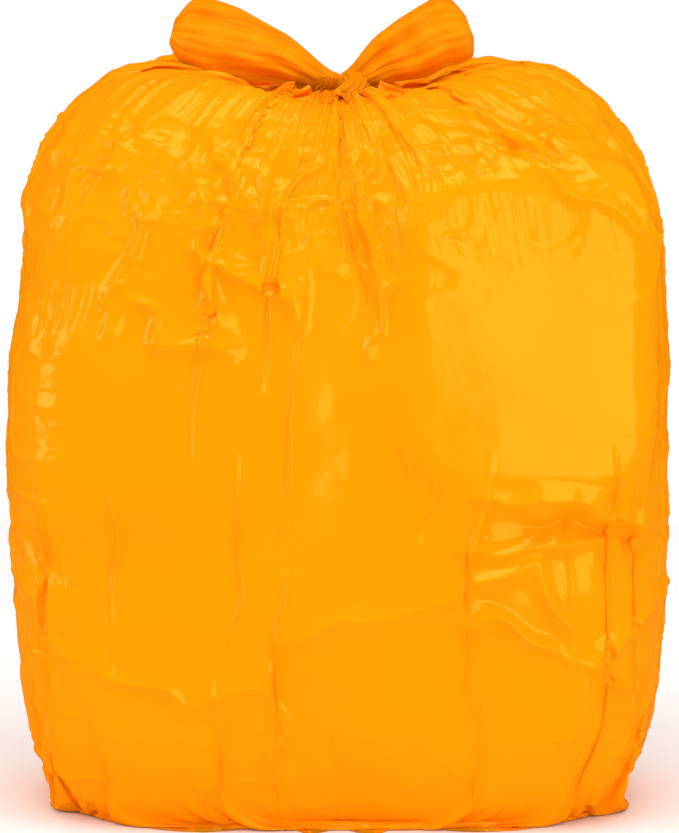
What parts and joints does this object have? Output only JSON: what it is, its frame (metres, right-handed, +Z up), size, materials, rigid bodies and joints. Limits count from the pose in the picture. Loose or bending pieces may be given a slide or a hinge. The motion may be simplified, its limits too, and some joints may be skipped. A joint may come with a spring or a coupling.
{
  "type": "biohazard waste sack",
  "caption": "Full waste sack of glossy yellow-orange polythene film, standing on its flat base and tied shut at the top in a half knot with two ears.",
  "frame": {"origin": "middle of the base, on the surface that the sack stands on", "axes": "+Z up, -Y out of the broad front, +X to the right as seen from the front"},
  "size_m": [0.5004, 0.3, 0.5951],
  "materials": {
    "film": "glossy thin film",
    "waste": "matt crumpled wipes"
  },
  "bodies": {
    "sack": {"sack_film": "film", "shoulder_film": "film", "bottom_weld": "film", "left_corner_tuck": "film", "right_corner_tuck": "film", "lower_left_bundle": "waste", "middle_left_bundle": "waste", "upper_left_bundle": "waste", "lower_right_bundle": "waste", "upper_right_bundle": "waste"},
    "neck": {"neck_gather": "film"},
    "knot": {"left_knot_strand": "film", "right_knot_strand": "film"},
    "left_root": {"left_ear_root": "film"},
    "left_lobe": {"left_ear": "film"},
    "right_root": {"right_ear_root": "film"},
    "right_lobe": {"right_ear": "film"}
  },
  "joints": [
    {"name": "neck_lift", "type": "slide", "parent": "sack", "child": "neck", "axis": [0, 0, 1], "range_m": [0, 0.04]},
    {"name": "knot_lean", "type": "hinge", "parent": "neck", "child": "knot", "pos_m": [0, 0, 0.4938], "axis": [1, 0, 0], "range_deg": [-10, 10]},
    {"name": "left_ear_raise", "type": "hinge", "parent": "knot", "child": "left_root", "pos_m": [-0.005, 0, 0.541], "axis": [0, 1, 0], "range_deg": [0, 50]},
    {"name": "right_ear_raise", "type": "hinge", "parent": "knot", "child": "right_root", "pos_m": [0.005, 0, 0.541], "axis": [0, -1, 0], "range_deg": [0, 45]},
    {"name": "left_ear_fold", "type": "hinge", "parent": "left_root", "child": "left_lobe", "pos_m": [-0.02363, 0, 0.54565], "axis": [0.2419, 0, 0.9703], "range_deg": [-40, 40]},
    {"name": "right_ear_fold", "type": "hinge", "parent": "right_root", "child": "right_lobe", "pos_m": [0.02293, 0, 0.54788], "axis": [-0.3584, 0, 0.9336], "range_deg": [-40, 40]}
  ]
}
